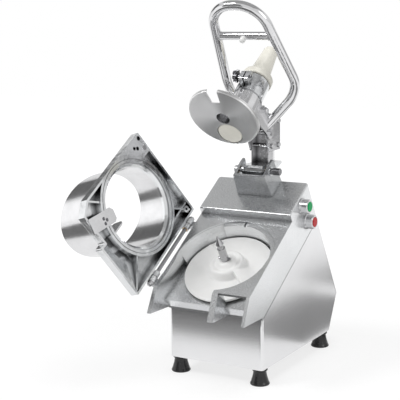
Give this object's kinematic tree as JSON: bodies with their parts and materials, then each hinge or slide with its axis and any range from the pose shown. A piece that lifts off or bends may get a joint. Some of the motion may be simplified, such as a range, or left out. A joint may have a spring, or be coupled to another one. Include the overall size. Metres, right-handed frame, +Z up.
{
  "type": "vegetable cutting machine",
  "caption": "Bench vegetable cutter with a sloping bowl, spindle and ejector, a hinged feed cylinder and a swinging pusher lever.",
  "frame": {"origin": "on the floor under the middle of the machine's box at rest, with the hopper open and the lever up", "axes": "+Z up, +Y from the discharge mouth to the rear, +X to the side of the push buttons"},
  "size_m": [0.472, 0.589, 0.8146],
  "materials": {
    "stainless_panel": "brushed",
    "head_aluminium": "satin",
    "cast_aluminium": "polished",
    "polished_steel": "polished",
    "chrome_tube": "polished",
    "steel": "satin",
    "bright_steel": "polished",
    "bronze": "satin",
    "white_plastic": "satin",
    "ivory_plastic": "satin",
    "black_rubber": "matte",
    "black_plastic": "matte",
    "green_cap": "gloss",
    "red_cap": "gloss",
    "motor_paint": "satin",
    "belt_rubber": "matte"
  },
  "bodies": {
    "root": {"base_housing": "stainless_panel", "floor_plate": "steel", "rubber_feet": "black_rubber", "foot_screws": "steel", "head_casting": "head_aluminium", "hinge_rod": "bright_steel", "hinge_nuts": "bright_steel", "bearing_housing": "steel", "bearing_outer_rings": "steel", "bearing_balls": "steel", "spindle_seal": "black_rubber", "drive_belt": "belt_rubber", "motor_plate": "steel", "plate_spacers": "steel", "motor_body": "motor_paint", "lever_pedestal": "head_aluminium", "pedestal_screws": "steel", "lever_pin": "bright_steel", "lever_pin_knob": "bright_steel", "button_bezels": "bright_steel", "switch_blocks": "black_plastic", "interlock_sensor": "black_plastic", "inlet_gland": "steel"},
    "hopper": {"hopper_frame": "cast_aluminium", "hinge_bushes": "bronze", "interlock_strap": "polished_steel", "strap_screws": "steel", "lid_magnet": "bright_steel", "feed_cylinder": "polished_steel", "divider_fin": "polished_steel"},
    "spindle": {"spindle_shaft": "bright_steel", "drive_pin": "bright_steel", "ejector_disc": "white_plastic", "bearing_inner_rings": "steel", "driven_pulley": "steel"},
    "motor_rotor": {"motor_pulley": "steel", "motor_shaft": "steel"},
    "lever": {"arm_yoke": "cast_aluminium", "arm_bushes": "bronze", "arm_channel": "polished_steel", "rear_strut": "polished_steel", "arm_side_plates": "polished_steel", "column_bolts": "bright_steel", "column_nuts": "bright_steel", "pivot_bushes": "bronze"},
    "pusher": {"pusher_brackets": "polished_steel", "bracket_bolts": "steel", "pivot_bolt": "bright_steel", "dome_nuts": "bright_steel", "pusher_plate": "polished_steel", "spindle_sleeve": "polished_steel", "tube_clamp": "cast_aluminium", "pusher_tube": "polished_steel", "handle_loop": "chrome_tube", "handle_crossbar": "chrome_tube", "crossbar_bumper": "white_plastic"},
    "pestle_body": {"pestle": "ivory_plastic"},
    "clamp_screw": {"clamp_knob": "black_plastic"},
    "start_cap": {"start_button": "green_cap"},
    "stop_cap": {"stop_button": "red_cap"}
  },
  "joints": [
    {"name": "hopper_hinge", "type": "hinge", "parent": "root", "child": "hopper", "pos_m": [-0.02895, -0.07014, 0.26769], "axis": [0, 0.8499, 0.527], "range_deg": [0, 108.9]},
    {"name": "spindle_spin", "type": "hinge", "parent": "root", "child": "spindle", "pos_m": [0.10355, -0.0353, 0.21681], "axis": [0, 0.527, -0.8499], "continuous": true},
    {"name": "motor_spin", "type": "hinge", "parent": "root", "child": "motor_rotor", "pos_m": [0.10355, 0.14896, 0.23693], "axis": [0, 0.527, -0.8499], "continuous": true},
    {"name": "lever_lift", "type": "hinge", "parent": "root", "child": "lever", "pos_m": [0.10355, 0.07947, 0.437], "axis": [1, 0, 0], "range_deg": [0, 101.5]},
    {"name": "pusher_tilt", "type": "hinge", "parent": "lever", "child": "pusher", "pos_m": [0.10355, 0.09775, 0.52114], "axis": [1, 0, 0], "range_deg": [-20.2, 0]},
    {"name": "pestle_slide", "type": "slide", "parent": "pusher", "child": "pestle_body", "axis": [0, 0.7604, 0.6494], "range_m": [0, 0.12]},
    {"name": "clamp_turn", "type": "hinge", "parent": "pusher", "child": "clamp_screw", "pos_m": [0.07955, 0.03646, 0.64987], "axis": [-1, 0, 0], "range_deg": [0, 360]},
    {"name": "start_press", "type": "slide", "parent": "root", "child": "start_cap", "axis": [-1, 0, 0], "range_m": [0, 0.004]},
    {"name": "stop_press", "type": "slide", "parent": "root", "child": "stop_cap", "axis": [-1, 0, 0], "range_m": [0, 0.004]}
  ],
  "couplings": [
    {"joint": "motor_spin", "follows": "spindle_spin", "ratio": 4.5},
    {"joint": "pusher_tilt", "follows": "lever_lift", "ratio": -0.19901}
  ]
}
